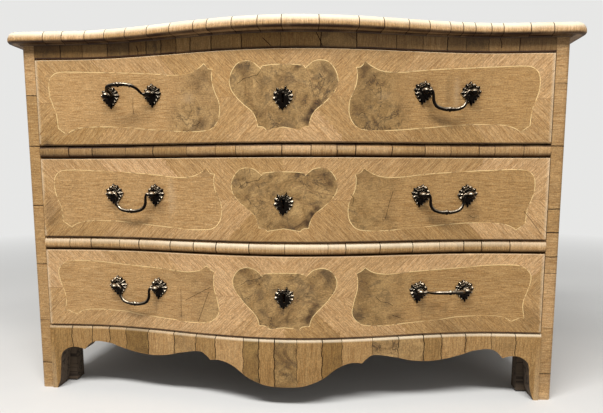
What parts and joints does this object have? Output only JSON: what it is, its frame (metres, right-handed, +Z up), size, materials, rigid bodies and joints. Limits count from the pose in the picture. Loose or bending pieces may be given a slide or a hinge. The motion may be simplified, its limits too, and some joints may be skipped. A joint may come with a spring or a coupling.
{
  "type": "serpentine chest of drawers",
  "caption": "Serpentine-fronted walnut chest with sliding drawers, swinging bail handles, bolt locks and a shaped apron on bracket feet.",
  "frame": {"origin": "on the floor, under the middle of the chest's box", "axes": "+Z up, the drawers open towards -Y, +X is the chest's length to its right as seen from the front"},
  "size_m": [1.27, 0.66, 0.8281],
  "materials": {
    "walnut_veneer": "waxed crossbanded veneer, worn",
    "softwood": "bare planed softwood, aged",
    "iron": "forged, dark",
    "patinated_brass": "cast, dark patina with rubbed high points"
  },
  "bodies": {
    "carcass": {"top": "walnut_veneer", "cove_moulding": "walnut_veneer", "stile_left": "walnut_veneer", "stile_right": "walnut_veneer", "side_left": "walnut_veneer", "side_right": "walnut_veneer", "back_panel": "softwood", "top_rail": "walnut_veneer", "rail_upper": "walnut_veneer", "rail_lower": "walnut_veneer", "apron": "walnut_veneer", "bottom_board": "softwood", "kicker_left": "softwood", "kicker_right": "softwood", "runner_upper_left": "softwood", "runner_upper_right": "softwood", "runner_lower_left": "softwood", "runner_lower_right": "softwood"},
    "upper_drawer": {"upper_drawer_front": "walnut_veneer", "upper_drawer_side_left": "softwood", "upper_drawer_side_right": "softwood", "upper_drawer_back": "softwood", "upper_drawer_bottom": "softwood", "upper_lock_case": "iron", "upper_escutcheon": "patinated_brass", "upper_handle_post_left_outer": "patinated_brass", "upper_handle_post_left_inner": "patinated_brass", "upper_handle_post_right_inner": "patinated_brass", "upper_handle_post_right_outer": "patinated_brass"},
    "upper_bolt": {"upper_lock_bolt": "iron"},
    "upper_left_bail": {"upper_bail_left": "patinated_brass"},
    "upper_right_bail": {"upper_bail_right": "patinated_brass"},
    "middle_drawer": {"middle_drawer_front": "walnut_veneer", "middle_drawer_side_left": "softwood", "middle_drawer_side_right": "softwood", "middle_drawer_back": "softwood", "middle_drawer_bottom": "softwood", "middle_lock_case": "iron", "middle_escutcheon": "patinated_brass", "middle_handle_post_left_outer": "patinated_brass", "middle_handle_post_left_inner": "patinated_brass", "middle_handle_post_right_inner": "patinated_brass", "middle_handle_post_right_outer": "patinated_brass"},
    "middle_bolt": {"middle_lock_bolt": "iron"},
    "middle_left_bail": {"middle_bail_left": "patinated_brass"},
    "middle_right_bail": {"middle_bail_right": "patinated_brass"},
    "lower_drawer": {"lower_drawer_front": "walnut_veneer", "lower_drawer_side_left": "softwood", "lower_drawer_side_right": "softwood", "lower_drawer_back": "softwood", "lower_drawer_bottom": "softwood", "lower_lock_case": "iron", "lower_escutcheon": "patinated_brass", "lower_handle_post_left_outer": "patinated_brass", "lower_handle_post_left_inner": "patinated_brass", "lower_handle_post_right_inner": "patinated_brass", "lower_handle_post_right_outer": "patinated_brass"},
    "lower_bolt": {"lower_lock_bolt": "iron"},
    "lower_left_bail": {"lower_bail_left": "patinated_brass"},
    "lower_right_bail": {"lower_bail_right": "patinated_brass"}
  },
  "joints": [
    {"name": "upper_drawer_slide", "type": "slide", "parent": "carcass", "child": "upper_drawer", "axis": [0, -1, 0], "range_m": [0, 0.35]},
    {"name": "upper_bolt_throw", "type": "slide", "parent": "upper_drawer", "child": "upper_bolt", "axis": [0, 0, 1], "range_m": [0, 0.009]},
    {"name": "upper_left_bail_swing", "type": "hinge", "parent": "upper_drawer", "child": "upper_left_bail", "pos_m": [-0.3482, -0.25026, 0.6847], "axis": [-0.9787, 0.2055, 0], "range_deg": [-132, 78]},
    {"name": "upper_right_bail_swing", "type": "hinge", "parent": "upper_drawer", "child": "upper_right_bail", "pos_m": [0.3482, -0.25026, 0.6847], "axis": [-0.9787, -0.2055, 0], "range_deg": [-15, 195]},
    {"name": "middle_drawer_slide", "type": "slide", "parent": "carcass", "child": "middle_drawer", "axis": [0, -1, 0], "range_m": [0, 0.35]},
    {"name": "middle_bolt_throw", "type": "slide", "parent": "middle_drawer", "child": "middle_bolt", "axis": [0, 0, 1], "range_m": [0, 0.009]},
    {"name": "middle_left_bail_swing", "type": "hinge", "parent": "middle_drawer", "child": "middle_left_bail", "pos_m": [-0.3482, -0.25026, 0.4679], "axis": [-0.9787, 0.2055, 0], "range_deg": [-15, 195]},
    {"name": "middle_right_bail_swing", "type": "hinge", "parent": "middle_drawer", "child": "middle_right_bail", "pos_m": [0.3482, -0.25026, 0.4679], "axis": [-0.9787, -0.2055, 0], "range_deg": [-15, 195]},
    {"name": "lower_drawer_slide", "type": "slide", "parent": "carcass", "child": "lower_drawer", "axis": [0, -1, 0], "range_m": [0, 0.35]},
    {"name": "lower_bolt_throw", "type": "slide", "parent": "lower_drawer", "child": "lower_bolt", "axis": [0, 0, 1], "range_m": [0, 0.009]},
    {"name": "lower_left_bail_swing", "type": "hinge", "parent": "lower_drawer", "child": "lower_left_bail", "pos_m": [-0.3482, -0.25026, 0.2562], "axis": [-0.9787, 0.2055, 0], "range_deg": [-15, 195]},
    {"name": "lower_right_bail_swing", "type": "hinge", "parent": "lower_drawer", "child": "lower_right_bail", "pos_m": [0.3482, -0.25026, 0.2562], "axis": [-0.9787, -0.2055, 0], "range_deg": [-115, 95]}
  ]
}
